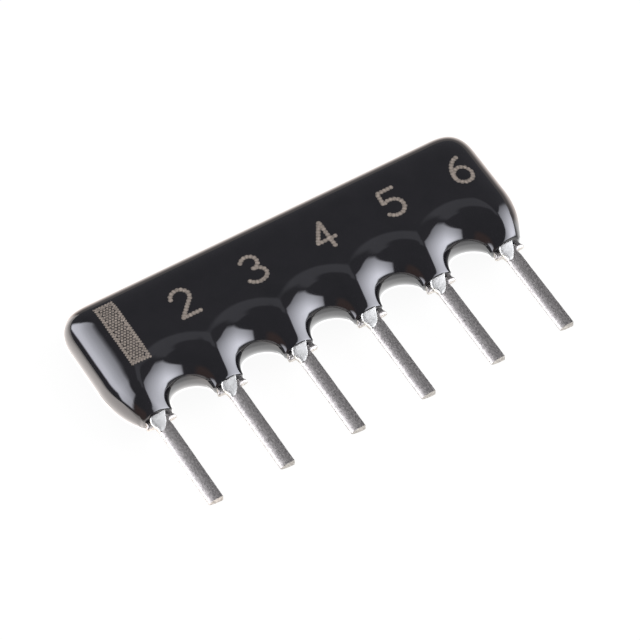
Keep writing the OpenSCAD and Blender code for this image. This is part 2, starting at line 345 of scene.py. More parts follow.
def bump(tree, shader, height, depth_um):
    """Lets a height between 0 and 1 stand for a relief of some micrometres."""
    node = add_node(tree, "ShaderNodeBump", Height=height)
    node.inputs["Strength"].default_value = 1.0
    node.inputs["Distance"].default_value = depth_um * 1e-6
    tree.links.new(node.outputs["Normal"], shader.inputs["Normal"])


# %% [markdown]
# The epoxy is nearly black. What shows is a clear skin of gloss with a very slight orange peel, and a
# hint of grey mottling where the pigment is uneven.

# %% Black epoxy
def black_epoxy():
    material, tree, shader, spot = new_finish("black_epoxy")
    mottle = noise(tree, spot, 0.6)
    paint(tree, shader, mottle, (0.008, 0.008, 0.010), (0.015, 0.014, 0.017))
    feed(tree, shader.inputs["Roughness"], spread(noise(tree, spot, 0.35), 0.045, 0.085))
    shader.inputs["IOR"].default_value = 1.62
    bump(tree, shader, noise(tree, spot, 0.5, detail=1.0), 1.2)
    return material


finishes = {"black_epoxy": black_epoxy()}
print("finish:", ", ".join(finishes))

# %% [markdown]
# The leads are dipped in tin. The metal is bright but grainy: fine crystals scatter the reflections, and
# they are drawn out a little along the lead. A dull skin takes the shine off at grazing angles, which is
# what Specular Tint does on a metal.

# %% Tinned strip and solder
def tinned_strip():
    material, tree, shader, spot = new_finish("tinned_strip")
    crystals = noise(tree, spot, 0.06, stretch=(1, 1.4, 1))
    fine = noise(tree, spot, 0.018)
    grain = crystals * 0.6 + fine * 0.4
    paint(tree, shader, spread(grain, 0, 1), (0.168, 0.160, 0.150), (0.60, 0.57, 0.535))
    feed(tree, shader.inputs["Roughness"], spread(fine, 0.40, 0.52))
    shader.inputs["Metallic"].default_value = 1.0
    shader.inputs["Specular Tint"].default_value = (0.32, 0.30, 0.28, 1)
    bump(tree, shader, grain, 3.0)
    return material


def solder_finish():
    material, tree, shader, spot = new_finish("solder")
    cloud = noise(tree, spot, 0.12)
    paint(tree, shader, cloud, (0.53, 0.53, 0.495), (0.63, 0.63, 0.595))
    feed(tree, shader.inputs["Roughness"], spread(noise(tree, spot, 0.04), 0.42, 0.56))
    shader.inputs["Metallic"].default_value = 1.0
    bump(tree, shader, cloud, 3.0)
    return material


finishes["tinned_strip"] = tinned_strip()
finishes["solder"] = solder_finish()
print("finishes so far:", ", ".join(finishes))

# %% [markdown]
# The laser burns the black pigment away and leaves a dull tan crust of tiny dots. Each dot is paler in its
# middle than at its rim, which is painted shade of the dot's small dome. An attribute that the dots will
# carry is 1 in the middle.

# %% Laser mark
def laser_mark():
    material, tree, shader, spot = new_finish("laser_mark")
    crust = noise(tree, spot, 0.07)
    crest = tree.nodes.new("ShaderNodeAttribute")
    crest.attribute_name = "crest"
    # Painted shade: each dot is darker towards its rim and paler on its top, as a lit dome would look.
    middle = share((Number(crest.outputs["Fac"]) - 0.45) / 0.5)
    crust_and_dot_shade = spread(crust, 0.3, 1) * (0.25 + 0.75 * middle)
    paint(tree, shader, crust_and_dot_shade, (0.075, 0.064, 0.056), (0.40, 0.338, 0.294))
    feed(tree, shader.inputs["Roughness"], spread(crust, 0.6, 0.8))
    bump(tree, shader, crust, 2.0)
    return material


mark_finish = laser_mark()
print("finish of the marking:", mark_finish.name)

# %% [markdown]
# The pieces inside the coat keep their measured solids. Each still gets the finish of the real thing:
# fired alumina, printed silver and resistor films, and a thin coloured glass over them.

# %% Inner finishes
def fired_film(name, grain_mm, dark, light, rough, depth_um, metallic):
    """A printed and fired layer: a speckled colour, an uneven gloss and a fine relief."""
    material, tree, shader, spot = new_finish(name)
    speckle = noise(tree, spot, grain_mm)
    paint(tree, shader, spread(speckle, 0, 1), dark, light)
    feed(tree, shader.inputs["Roughness"], spread(speckle, *rough))
    shader.inputs["Metallic"].default_value = metallic
    bump(tree, shader, speckle, depth_um)
    return material


# Each film has a grain in mm, a dark and a light tone, a range of roughness, a relief in micrometres,
# and is a metal or not.
for film in (
    ("alumina", 0.04, (0.74, 0.72, 0.66), (0.86, 0.84, 0.79), (0.45, 0.65), 1.5, 0.0),
    ("silver_film", 0.03, (0.60, 0.58, 0.54), (0.80, 0.78, 0.74), (0.3, 0.5), 1.5, 1.0),
    ("resistor_film", 0.05, (0.035, 0.04, 0.045), (0.07, 0.075, 0.08), (0.35, 0.6), 2.0, 0.0),
    ("glass_glaze", 0.2, (0.10, 0.20, 0.16), (0.16, 0.27, 0.22), (0.12, 0.25), 2.0, 0.0),
):
    finishes[film[0]] = fired_film(*film)
for part in frame["record"]["subparts"]:
    node = frame["nodes"][part["node"]]
    node.data.materials.clear()
    node.data.materials.append(finishes[part["material_slot"]])
print("all finishes:", ", ".join(finishes))

# %% [markdown]
# ## The epoxy coat
# When the part is dipped, epoxy runs over the plate and down the terminals. Surface tension rounds every
# edge, and arches are left between the legs. It could be sculpted, but its form follows a rule: at each
# point, the nearer the outline, the thinner the coat, along an ellipse. So a flat sheet is cut to the
# coat's outline in Python, and a Geometry Nodes tree thickens it by that formula.
# The sheet's columns crowd together where the outline turns, at the ends and beside each arch.
# The epoxy's own weight draws the two ends in towards the outer leads.

# %% Outline of the coat
end_steps = 24
leg_steps = 20
arch_steps = 36
row_steps = 84


def lead_x(i):
    return first_x + (i - 1) * pitch


arch_places = [lead_x(i) + pitch / 2 for i in leads[:-1]]


def arch_height(x):
    """Height of the arches' outline above the leg ends."""
    across = min(abs(x - place) for place in arch_places) / arch_half
    return arch_rise * math.sqrt(max(0, 1 - across * across))


def corner_height(x):
    """Height of the rounded corners of the leg ends."""
    beside_lead = min(abs(x - lead_x(i)) for i in leads)
    into_corner = min(1, max(0, beside_lead - leg_half + corner_round) / corner_round)
    return corner_round * (1 - math.sqrt(1 - into_corner * into_corner))


def outline_low(x):
    """Lower outline: drawn-in ends, arches and leg ends with rounded corners."""
    inside_end = max(0, body_half - abs(x))
    if inside_end < end_draft:
        draft = end_draft_h * (1 - math.sqrt(inside_end / end_draft))
        return leg_lift + max(draft, corner_round)
    return leg_lift + max(arch_height(x), corner_height(x))


def outline_high(x):
    """Upper outline with its two rounded corners."""
    near_end = max(0, 1 - (body_half - abs(x)) / edge_round) ** edge_blend
    return body_top - edge_round * (1 - (1 - near_end) ** (1 / edge_blend))


def eased(k, steps):
    """Steps from -1 to 1 that crowd together at both ends."""
    return -math.cos(math.pi * k / steps)


def column_places():
    """Places of the sheet's columns along the row."""
    ends = [body_half - end_draft * (k / end_steps) ** 2 for k in range(end_steps)]
    places = [-x for x in ends]
    for i in leads:
        places += [lead_x(i) + leg_half * eased(k, leg_steps) for k in range(leg_steps)]
        if i < lead_count:
            places += [arch_places[i - 1] + arch_half * eased(k, arch_steps) for k in range(arch_steps)]
    places.append(lead_x(lead_count) + leg_half)
    return places + ends[::-1]


def coat_sheet():
    """A flat grid cut to the coat's outline."""
    places = column_places()
    points = []
    for x in places:
        low, high = outline_low(x), outline_high(x)
        rise = [(1 + eased(r, row_steps)) / 2 for r in range(row_steps + 1)]
        points += [(x, low + (high - low) * t, 0) for t in rise]
    rows = row_steps + 1
    faces = []
    for c in range(len(places) - 1):
        for r in range(row_steps):
            corner = c * rows + r
            faces.append((corner, corner + rows, corner + rows + 1, corner + 1))
    return new_mesh("coat_sheet", points, faces)


# %% [markdown]
# The tree first doubles the sheet into a thin slab and closes its rim. Then it moves every point out to
# the front or the back. How near a point is to each edge is raised to a power and summed, which blends
# neighbouring edges the way a liquid does. Where the ends are drawn in, their rounding is tighter. A
# little noise leaves the dip's waviness and an uneven lip.

# %% The dip as a tree
coat_sizes = {
    "Half length": body_half,
    "Top": body_top,
    "Leg lift": leg_lift,
    "Arch half": arch_half,
    "Arch rise": arch_rise,
    "End draft": end_draft,
    "Draft height": end_draft_h,
    "End tightening": 0.7,
    "Edge round": edge_round,
    "Edge blend": edge_blend,
    "Front": face_z - 0.005 * MM,
    "Back": 1.02 * MM,
    "Front runout": 0.17 * MM,
    "Back runout": 0.17 * MM,
    "Rest": rest_z,
    "Rim": rim_t,
    "Wave": 0.006 * MM,
    "Wave length": 1.4 * MM,
    "Lip": 0.05 * MM,
    "Lip share": 0.88,
    "Lip wander": 0.05 * MM,
}


def slab(tree, sheet):
    """Doubles a sheet and closes the rim between its two sides."""
    risen = add_node(tree, "GeometryNodeExtrudeMesh", Mesh=sheet, Offset=(0, 0, 1))
    risen.inputs["Individual"].default_value = False
    under = add_node(tree, "GeometryNodeFlipFaces", Mesh=sheet)
    both = tree.nodes.new("GeometryNodeJoinGeometry")
    for side in (risen, under):
        tree.links.new(side.outputs["Mesh"], both.inputs[0])
    closed = add_node(tree, "GeometryNodeMergeByDistance", Geometry=both.outputs[0], Distance=0.1e-6)
    return closed.outputs[0]


def coat_tree():
    tree, size, end = new_tree("dip_coat", coat_sizes)
    x, y, z = place_of(tree)

    def nearness(gap):
        return at_least(1 - at_least(gap, 0.0) / size["Edge round"], 0.0) ** size["Edge blend"]

    def arch_gap(place):
        """Distance outside the half-ellipse of an arch."""
        across = (x - place) / size["Arch half"]
        above = (y - size["Leg lift"]) / size["Arch rise"]
        ratio = length(across, above)
        return (ratio - 1) * ratio / length(across / size["Arch half"], above / size["Arch rise"])

    draft = at_least(size["Leg lift"] + size["Draft height"] - y, 0.0) / size["Draft height"]
    drawn_in = size["End draft"] * draft * draft
    tightening = size["Edge round"] / (size["Edge round"] - size["End tightening"] * drawn_in)
    end_gap = (size["Half length"] - drawn_in - abs(x)) * tightening
    edges = nearness(end_gap) + nearness(size["Top"] - y)
    for place in arch_places:
        edges = edges + nearness(arch_gap(place))

    def half_thickness(full, runout):
        near = edges ** (1 / size["Edge blend"])
        leg = at_least(1 - (y - size["Leg lift"] + runout) / size["Edge round"], 0.0)
        ellipse = calc("SQRT", at_least(1 - near * near, 0.0) * (1 - leg * leg))
        above_leg = at_least(1 - (y - size["Leg lift"]) / size["Lip"], 0.0)
        lip = calc("SQRT", 1 - above_leg * above_leg * (1 - size["Lip share"] * size["Lip share"]))
        ripple = add_node(tree, "ShaderNodeTexNoise", Scale=1 / size["Wave length"], Detail=1.0)
        wave = size["Wave"] * Number(ripple.outputs[0])
        return at_least((full - wave) * ellipse * lip, size["Rim"] / 2)

    front = half_thickness(size["Front"], size["Front runout"])
    rear = at_least(-1 * half_thickness(size["Back"], size["Back runout"]), size["Rest"])
    is_front = calc("GREATER_THAN", z, 0.5)

    crumb_length = 0.25 * MM
    crumb = add_node(tree, "ShaderNodeTexNoise", Scale=1 / crumb_length, Detail=2.0)
    tree.links.new(vector_of(tree, x, 0.0, 0.0), crumb.inputs["Vector"])
    low_share = at_least(1 - (y - size["Leg lift"]) / (5 * size["Lip"]), 0.0)
    wander = (Number(crumb.outputs[0]) - 0.35) * size["Lip wander"] * low_share * low_share

    new_place = vector_of(tree, x, y + wander, rear + is_front * (front - rear))
    closed = slab(tree, size["Geometry"])
    formed = add_node(tree, "GeometryNodeSetPosition", Geometry=closed, Position=new_place)
    smooth = add_node(tree, "GeometryNodeSetShadeSmooth", Geometry=formed.outputs[0])
    coated = add_node(tree, "GeometryNodeSetMaterial", Geometry=smooth.outputs[0], Material=size["Finish"])
    tree.links.new(coated.outputs[0], end)
    return tree


coat = new_piece("coat", coat_sheet())
grow(coat, coat_tree(), {**coat_sizes, "Finish": finishes["black_epoxy"]})

# %% [markdown]
# ## Terminals
# Each terminal is stamped from thin strip: a lead, a wider shoulder that stops on the board, one tine in
# front of the plate and two behind it. Stamping rolls one edge of the lead and leaves the other crisp, so
# the lead is a loft of superellipses with another power on each side and its highest line off the middle.
# The shoulder is a bar across it, rounded by the tin. One terminal is lofted here, and a tree sets it
# along the row.

# %% Lofts
ring_points = 32


def superellipse(k, left_power, right_power):
    """A point of a rounded rectangle of half-size 1. A higher power gives a crisper edge."""
    angle = 2 * math.pi * k / ring_points
    cos, sin = math.cos(angle), math.sin(angle)
    power = left_power if cos < 0 else right_power
    return (
        math.copysign(abs(cos) ** (2 / power), cos),
        math.copysign(abs(sin) ** (2 / power), sin),
    )


def ring(place, tilt, half_w, half_t, left_power, right_power, crown=0.0):
    """A section across the strip at place (x, y, z), tilted about X. Its highest line is at crown."""
    points = []
    for k in range(ring_points):
        across, out = superellipse(k, left_power, right_power)
        reach = half_w + crown if across < 0 else half_w - crown
        points.append((
            place[0] + crown + reach * across,
            place[1] - half_t * out * math.sin(tilt),
            place[2] + half_t * out * math.cos(tilt),
        ))
    return points


def loft(shape, rings):
    """Adds a closed skin over a row of rings to a bmesh."""
    made = [[shape.verts.new(point) for point in points] for points in rings]
    for low, high in zip(made, made[1:]):
        for k in range(ring_points):
            n = (k + 1) % ring_points
            shape.faces.new((low[k], low[n], high[n], high[k]))
    shape.faces.new(made[0][::-1])
    shape.faces.new(made[-1])


def finished_mesh(name, shape, sharp_degrees=50):
    """Turns a bmesh into a mesh with smooth faces, and keeps its corners crisp."""
    bmesh.ops.recalc_face_normals(shape, faces=shape.faces)
    for face in shape.faces:
        face.smooth = True
    for edge in shape.edges:
        edge.smooth = edge.calc_face_angle(0) < math.radians(sharp_degrees)
    mesh = bpy.data.meshes.new(name)
    shape.to_mesh(mesh)
    shape.free()
    return mesh


# %% One terminal
lead_half = 0.255 * MM
strip_half = 0.125 * MM
front_tine_z = 0.4675 * MM
rear_tine_z = -0.4425 * MM
lead_crown = 0.14 * MM
rolled_edge = 1.8
sheared_edge = 12.0
tine_edge = 8.0
lead_steps = 24


def blade(shape):
    """The lead, from its blunt tip to a neck that widens inside the shoulder bar."""
    rings = []
    straight_top = -0.2 * MM
    tip_trim = 0.97
    for k in range(lead_steps + 1):
        y = tip_y + (straight_top - tip_y) * k / lead_steps
        half_t = strip_half * (tip_trim if k == 0 else 1)
        rings.append(ring((0, y, 0), 0, lead_half, half_t, rolled_edge, sheared_edge, lead_crown))
    neck_mm = ((-0.05, 0.258), (0.02, 0.27), (0.05, 0.3), (0.08, 0.34), (0.25, 0.34))
    for y, half in neck_mm:
        rings.append(ring((0, y * MM, 0), 0, half * MM, strip_half, 4.0, 5.0))
    loft(shape, rings)


def shoulder(shape):
    """A bar across the top of the lead, rounded by the tin and blunt at both ends."""
    low, high = 0.04 * MM, 0.25 * MM
    roundness = 2.2
    droop = 0.8
    blunt_end = ((1, 0.35), (0.97, 0.6), (0.9, 0.82), (0.8, 1))
    sections = [(-x, full) for x, full in blunt_end] + list(reversed(blunt_end))
    rings = []
    for x, full in sections:
        points = []
        for k in range(ring_points):
            along, out = superellipse(k, roundness, roundness)
            y = low + (high - low) / 2 * (full * along + 1 - droop * (1 - full))
            points.append((x * shoulder_half, y, strip_half * full * out))
        rings.append(points)
    loft(shape, rings)


def tine(shape, x, half_w, jog_top, z, top):
    """A tine that jogs from the shoulder to a face of the plate, and flares at its end."""
    heel_low, heel_high = 0.12 * MM, 0.24 * MM
    flare_len = 0.18 * MM
    flare = math.copysign(0.05 * MM, z)
    path = [
        (heel_low, 0), (heel_high, 0), (jog_top - 0.06 * MM, z * 0.93), (jog_top + 0.04 * MM, z),
        (top - flare_len, z), (top, z + flare),
    ]
    rings = []
    for k, (y, level_z) in enumerate(path):
        before, after = path[max(0, k - 1)], path[min(len(path) - 1, k + 1)]
        tilt = math.atan2(after[1] - before[1], after[0] - before[0])
        rings.append(ring((x, y, level_z), tilt, half_w, strip_half, tine_edge, tine_edge))
    loft(shape, rings)


def terminal_mesh():
    shape = bmesh.new()
    blade(shape)
    shoulder(shape)
    tine(shape, x=0, half_w=0.2 * MM, jog_top=1.0 * MM, z=front_tine_z, top=2.4 * MM)
    for x in (-0.37 * MM, 0.37 * MM):
        tine(shape, x, half_w=0.09 * MM, jog_top=1.2 * MM, z=rear_tine_z, top=2.25 * MM)
    return finished_mesh("terminal", shape)


# %% [markdown]
# Solder wets the front tine and its pad, and runs out in a short fillet on the lead. The fillet is the
# small bright facet just under the coat's edge. It is wider than the lead there, rounded on its left side
# and crisp on its right.

# %% One solder joint
solder_left_power = 3.2
solder_right_power = 40.0

# Sections in mm, from the run-out on the lead to the end of the pad: y, left, right, low, high.
solder_sections = (
    (-0.22, -0.22, -0.08, 0.0, 0.1), (-0.18, -0.235, -0.02, 0.0, 0.125), (-0.12, -0.245, 0.04, 0.0, 0.148),
    (-0.06, -0.265, 0.09, 0.02, 0.17), (0.0, -0.31, 0.13, 0.04, 0.192), (0.08, -0.36, 0.16, 0.06, 0.222),
    (0.16, -0.36, 0.19, 0.07, 0.255), (0.24, -0.34, 0.23, 0.08, 0.29), (0.3, -0.3, 0.25, 0.08, 0.315),
    (0.38, -0.25, 0.25, 0.1, 0.34),
    (1.0, -0.25, 0.25, 0.3, 0.64), (1.25, -0.25, 0.25, 0.34, 0.645), (1.34, -0.4, 0.4, 0.335, 0.645),
    (2.5, -0.4, 0.4, 0.335, 0.645), (2.64, -0.38, 0.38, 0.335, 0.365),
)


def solder_mesh():
    shape = bmesh.new()
    rings = []
    for y, left, right_side, low, high in solder_sections:
        place = ((left + right_side) / 2 * MM, y * MM, (low + high) / 2 * MM)
        half_w = (right_side - left) / 2 * MM
        half_t = (high - low) / 2 * MM
        rings.append(ring(place, 0, half_w, half_t, solder_left_power, solder_right_power))
    loft(shape, rings)
    return finished_mesh("solder_joint", shape)


# %% [markdown]
# A row of equal things is what Geometry Nodes are good at: a line of points, one instance on each, and
# then the instances are made real. Noise then moves the surface by a few micrometres, which makes each
# copy a little different, as dipped metal is.

# %% Rows of terminals and solder
row_sizes = {"First": first_x, "Pitch": pitch, "Unevenness": 0.0, "Blob": 1.0, "Narrowest": 1.0}


def row_tree():
    tree, size, end = new_tree("row_of_pieces", row_sizes)
    line = tree.nodes.new("GeometryNodeMeshLine")
    line.inputs["Count"].default_value = lead_count
    tree.links.new(vector_of(tree, size["First"], 0.0, 0.0), line.inputs["Start Location"])
    tree.links.new(vector_of(tree, size["Pitch"], 0.0, 0.0), line.inputs["Offset"])
    width = tree.nodes.new("FunctionNodeRandomValue")
    feed(tree, width.inputs["Min"], size["Narrowest"])
    width.inputs["Max"].default_value = 1.0
    width.inputs["Seed"].default_value = 3
    row = add_node(tree, "GeometryNodeInstanceOnPoints", Points=line.outputs[0], Instance=size["Geometry"])
    tree.links.new(vector_of(tree, Number(width.outputs[1]), 1.0, 1.0), row.inputs["Scale"])
    real = add_node(tree, "GeometryNodeRealizeInstances", Geometry=row.outputs[0])
    lumps = add_node(tree, "ShaderNodeTexNoise", Scale=1 / size["Blob"], Detail=2.0)
    normal = tree.nodes.new("GeometryNodeInputNormal").outputs[0]
    push = (Number(lumps.outputs[0]) - 0.75) * size["Unevenness"]
    shift = tree.nodes.new("ShaderNodeVectorMath")
    shift.operation = "SCALE"
    feed(tree, shift.inputs[0], normal)
    feed(tree, shift.inputs["Scale"], push)
    moved = add_node(tree, "GeometryNodeSetPosition", Geometry=real.outputs[0], Offset=shift.outputs[0])
    tinned = add_node(tree, "GeometryNodeSetMaterial", Geometry=moved.outputs[0], Material=size["Finish"])
    tree.links.new(tinned.outputs[0], end)
    return tree


pieces_in_row = row_tree()
terminals = new_piece("terminals", terminal_mesh())
uneven = {"Unevenness": 0.012 * MM, "Blob": 0.35 * MM, "Finish": finishes["tinned_strip"]}
grow(terminals, pieces_in_row, {**row_sizes, **uneven})
solder = new_piece("solder", solder_mesh())
lumpy = {"Unevenness": 0.022 * MM, "Blob": 0.16 * MM, "Narrowest": 0.85, "Finish": finishes["solder"]}
grow(solder, pieces_in_row, {**row_sizes, **lumpy})

# %% [markdown]
# ## Marking
# A laser writes on the coat in overlapping dots. A filled bar stands beside the first lead, and plain
# numbers count the other leads, in slightly larger dots. The strokes are drawn as lines and arcs. A tree
# sets dots along them, drops each dot onto the coat with a ray, and turns it to the surface there.

# %% Strokes of the marking
bar_low = Vector((-6.33, 1.86)) * MM
bar_high = Vector((-5.71, 4.36)) * MM
digit_low = 2.58 * MM
digit_high = 3.63 * MM
digit_w = 0.62 * MM
dot_step = 0.104 * MM
arc_steps = 24


def line(*corners):
    return [Vector(corner) for corner in corners]


def arc(middle, radii, start, stop):
    """Part of an ellipse, with angles in degrees counted from +X towards +Y."""
    points = []
    for k in range(arc_steps + 1):
        angle = math.radians(start + (stop - start) * k / arc_steps)
        x = middle[0] + radii[0] * math.cos(angle)
        y = middle[1] + radii[1] * math.sin(angle)
        points.append(Vector((x, y)))
    return points


# Each digit is drawn in a box of width and height 1.
digit_strokes = {
    2: [arc((0.5, 0.72), (0.5, 0.28), 170, -35) + line((0, 0), (1, 0))],
    3: [arc((0.45, 0.75), (0.45, 0.25), 150, -80), arc((0.45, 0.26), (0.55, 0.26), 85, -155)],
    4: [line((0.72, 0), (0.72, 1), (0, 0.3), (1, 0.3))],
    5: [line((0.95, 1), (0.12, 1), (0.05, 0.55)) + arc((0.45, 0.31), (0.55, 0.31), 125, -145)],
    6: [arc((0.5, 0.3), (0.5, 0.3), 180, -180) + arc((1.0, 0.3), (1.0, 0.7), 180, 105)],
}


def digit_paths():
    """The strokes of every number, each above its lead."""
    paths = []
    digit_h = digit_high - digit_low
    for i, strokes in digit_strokes.items():
        left = lead_x(i) - digit_w / 2
        for stroke in strokes:
            paths.append([(left + p.x * digit_w, digit_low + p.y * digit_h) for p in stroke])
    return paths


def frame_path(inset):
    """A closed loop inside the bar's outline."""
    left, right_side = bar_low.x + inset, bar_high.x - inset
    low, high = bar_low.y + inset, bar_high.y - inset
    return [(left, low), (right_side, low), (right_side, high), (left, high), (left, low)]


def bar_paths():
    """A dense double border, and rows of dots inside it, every other one shifted by half a step."""
    row_step = 0.92 * dot_step
    # A row runs a little past its last dot, so that rounding never drops that dot.
    past_end = 0.05 * dot_step
    paths = [frame_path(0), frame_path(0.4 * dot_step)]
    inner_h = bar_high.y - bar_low.y - 2 * dot_step
    rows = round(inner_h / row_step)
    for r in range(rows + 1):
        y = bar_low.y + dot_step + inner_h * r / rows
        inset = dot_step * (1.5 if r % 2 else 1)
        paths.append([(bar_low.x + inset, y), (bar_high.x - inset + past_end, y)])
    return paths


def stroke_mesh(paths):
    points, edges = [], []
    for path in paths:
        for k, (x, y) in enumerate(path):
            if k:
                edges.append((len(points) - 1, len(points)))
            points.append((x, y, face_z))
    mesh = bpy.data.meshes.new("strokes")
    mesh.from_pydata(points, edges, [])
    return mesh


print("strokes:", len(bar_paths()), "in the bar,", len(digit_paths()), "in the numbers")

# %% Dots along the strokes
dot_sizes = {
    "Step": dot_step,
    "Dot radius": 0.051 * MM,
    "Dot height": 0.0022 * MM,
    "Jitter": 0.005 * MM,
    "Laser height": 2 * face_z,
}


def dot_tree():
    tree, size, end = new_tree("laser_dots", dot_sizes, objects=("Surface",))
    path = add_node(tree, "GeometryNodeMeshToCurve", Mesh=size["Geometry"])
    dots = add_node(tree, "GeometryNodeCurveToPoints", Curve=path.outputs[0])
    dots.mode = "LENGTH"
    feed(tree, dots.inputs["Length"], size["Step"])
    spray = tree.nodes.new("FunctionNodeRandomValue")
    spray.data_type = "FLOAT_VECTOR"
    spray.inputs["Min"].default_value = (-1, -1, 0)
    spray.inputs["Max"].default_value = (1, 1, 0)
    spray.inputs["Seed"].default_value = 7
    shift = tree.nodes.new("ShaderNodeVectorMath")
    shift.operation = "SCALE"
    feed(tree, shift.inputs[0], spray.outputs[0])
    feed(tree, shift.inputs["Scale"], size["Jitter"])
    strewn = add_node(tree, "GeometryNodeSetPosition", Geometry=dots.outputs[0], Offset=shift.outputs[0])
    surface = add_node(tree, "GeometryNodeObjectInfo", Object=size["Surface"])
    x, y, z = place_of(tree)
    ray = add_node(tree, "GeometryNodeRaycast", Target_Geometry=surface.outputs["Geometry"])
    # The ray always starts above the coat, also when a landed dot asks for its normal.
    feed(tree, ray.inputs["Source Position"], vector_of(tree, x, y, size["Laser height"]))
    ray.inputs["Ray Direction"].default_value = (0, 0, -1)
    ray.inputs["Ray Length"].default_value = 1.0
    landed = add_node(tree, "GeometryNodeSetPosition", Geometry=strewn.outputs[0])
    tree.links.new(ray.outputs["Hit Position"], landed.inputs["Position"])
    turn = add_node(tree, "FunctionNodeAlignRotationToVector", Vector=ray.outputs["Hit Normal"])
    turn.axis = "Z"
    ball = add_node(tree, "GeometryNodeMeshUVSphere", Segments=10, Rings=6, Radius=1.0)
    # Each dot's height is kept for the mark's painted shade, darker at the dot's rim.
    domed = add_node(tree, "GeometryNodeStoreNamedAttribute", Geometry=ball.outputs["Mesh"], Name="crest")
    # A field is read on the geometry it is used for, so here Z runs from -1 to 1 over the ball.
    feed(tree, domed.inputs["Value"], z)
    flat = vector_of(tree, size["Dot radius"], size["Dot radius"], size["Dot height"])
    grain = add_node(tree, "GeometryNodeInstanceOnPoints", Points=landed.outputs[0])
    tree.links.new(domed.outputs[0], grain.inputs["Instance"])
    tree.links.new(turn.outputs[0], grain.inputs["Rotation"])
    tree.links.new(flat, grain.inputs["Scale"])
    real = add_node(tree, "GeometryNodeRealizeInstances", Geometry=grain.outputs[0])
    burnt = add_node(tree, "GeometryNodeSetMaterial", Geometry=real.outputs[0], Material=size["Finish"])
    tree.links.new(burnt.outputs[0], end)
    return tree


dots_on_coat = dot_tree()
burn = {**dot_sizes, "Finish": mark_finish, "Surface": coat}
larger_dots = {"Dot radius": 0.084 * MM, "Step": 0.118 * MM}
bar = new_piece("first_lead_bar", stroke_mesh(bar_paths()))
grow(bar, dots_on_coat, burn)
numbers = new_piece("lead_numbers", stroke_mesh(digit_paths()))
grow(numbers, dots_on_coat, {**burn, **larger_dots})

# %% [markdown]
# ## Floor and studio
# The part lies on a white table, which the camera sees as a plain sheet with a faint shadow. What mirrors
# see of it was fitted to the photograph: the table is bright around the part and most of all on its left,
# dimmer among the leads, and dusky and warm behind.

# %% The table in the mirrors
near_glow = 2.9
left_glow = 3.8
far_glow = 0.8
glow_reach = 11 * MM
back_glow = 2.2
dusk_glow = 0.3
back_reach = 9 * MM
shade_reach = 2 * MM
shade_depth = 0.7
lead_shade = 0.35


def table_glow(x, y):
    """Brightness and warmth of a place on the table, as mirror rays see it."""
    beside = at_least(at_least(x - body_half, abs(y - leg_lift) - body_top), 0.0)
    near = share(1 - beside / glow_reach)
    to_left = share((-1 * x - body_half / 2) / (body_half / 2))
    pool = far_glow + (near_glow - far_glow) * near + (left_glow - near_glow) * to_left
    past_top = y - body_top
    past_end = x - body_half
    behind = share(at_least(past_top, at_most(past_end, y - 1 * MM)) / MM) * share((x + body_half) / MM)
    distance = at_least(past_top, past_end)
    fading = share(1 - distance / back_reach)
    in_shade = share(1 - distance / shade_reach)
    dusk = (dusk_glow + (back_glow - dusk_glow) * fading * fading) * (1 - shade_depth * in_shade)
    pool = pool + (dusk - pool) * behind
    among_leads = share((tip_y / 4 - y) / MM)
    return pool * (1 - lead_shade * among_leads), 0.09 * behind + 0.05 * to_left


# %% Floor
paper_level = 0.93
floor_half = 1.0


def mixed(tree, factor, first, second):
    """Mixes two shaders. At factor 1, only the second shows."""
    node = add_node(tree, "ShaderNodeMixShader", Fac=factor)
    tree.links.new(first.outputs[0], node.inputs[1])
    tree.links.new(second.outputs[0], node.inputs[2])
    return node


def floor_finish():
    material = bpy.data.materials.new("white_table")
    material.use_nodes = True
    tree = material.node_tree
    tree.nodes.remove(tree.nodes["Principled BSDF"])
    spot = tree.nodes.new("ShaderNodeTexCoord").outputs["Object"]
    parts = add_node(tree, "ShaderNodeSeparateXYZ", Vector=spot).outputs
    pool, warmth = table_glow(Number(parts["X"]), Number(parts["Y"]))
    tint = add_node(tree, "ShaderNodeCombineColor", Red=1 + warmth, Green=1 - 0.4 * warmth, Blue=1 - warmth)
    sheen = add_node(tree, "ShaderNodeEmission", Color=tint.outputs[0], Strength=pool)
    paper_white = add_node(tree, "ShaderNodeEmission", Color=(1, 1, 1, 1), Strength=paper_level)
    path = tree.nodes.new("ShaderNodeLightPath")
    mirrored = Number(path.outputs["Is Glossy Ray"])
    glow = mixed(tree, mirrored, paper_white, sheen)
    faint = add_node(tree, "ShaderNodeBsdfDiffuse", Color=(0.1, 0.1, 0.1, 1))
    white = tree.nodes.new("ShaderNodeAddShader")
    tree.links.new(faint.outputs[0], white.inputs[0])
    tree.links.new(glow.outputs[0], white.inputs[1])
    paper = add_node(tree, "ShaderNodeBsdfDiffuse", Color=(0.85, 0.85, 0.85, 1))
    direct = Number(path.outputs["Is Camera Ray"]) + Number(path.outputs["Is Transmission Ray"])
    choice = mixed(tree, at_most(direct + mirrored, 1.0), paper, white)
    tree.links.new(choice.outputs[0], tree.nodes["Material Output"].inputs["Surface"])
    return material


corners = [(sx * floor_half, sy * floor_half, rest_z) for sx, sy in ((-1, -1), (1, -1), (1, 1), (-1, 1))]
floor = new_piece("floor", new_mesh("floor", corners, [(0, 1, 2, 3)]))
floor.data.materials.append(floor_finish())
floor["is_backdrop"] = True
print("table at a height of", round(rest_z / MM, 3), "mm")

# %% [markdown]
# The gloss of the coat is a picture of the studio: a large soft box on the right, a smaller one on the
# left, a dim ceiling, a faint warm glow in front, and darkness behind. The world holds that picture for
# mirror rays only. It is written in the photographer's terms, as angles: azimuth 0 points to the right of
# the image, 90 away from the camera. The camera sees plain white, and all other rays see an even soft
# light.

# %% The studio in the mirrors
studio_turn = math.radians(-31.2)
degree = 180 / math.pi
right_power = 10
left_power = 7.6
ceiling_power = 0.33
room_level = 0.18


def soft_window(value, low, high, blur):
    """1 between two angles and 0 outside, with soft edges."""
    return share((value - low) / blur + 0.5) * share((high - value) / blur + 0.5)


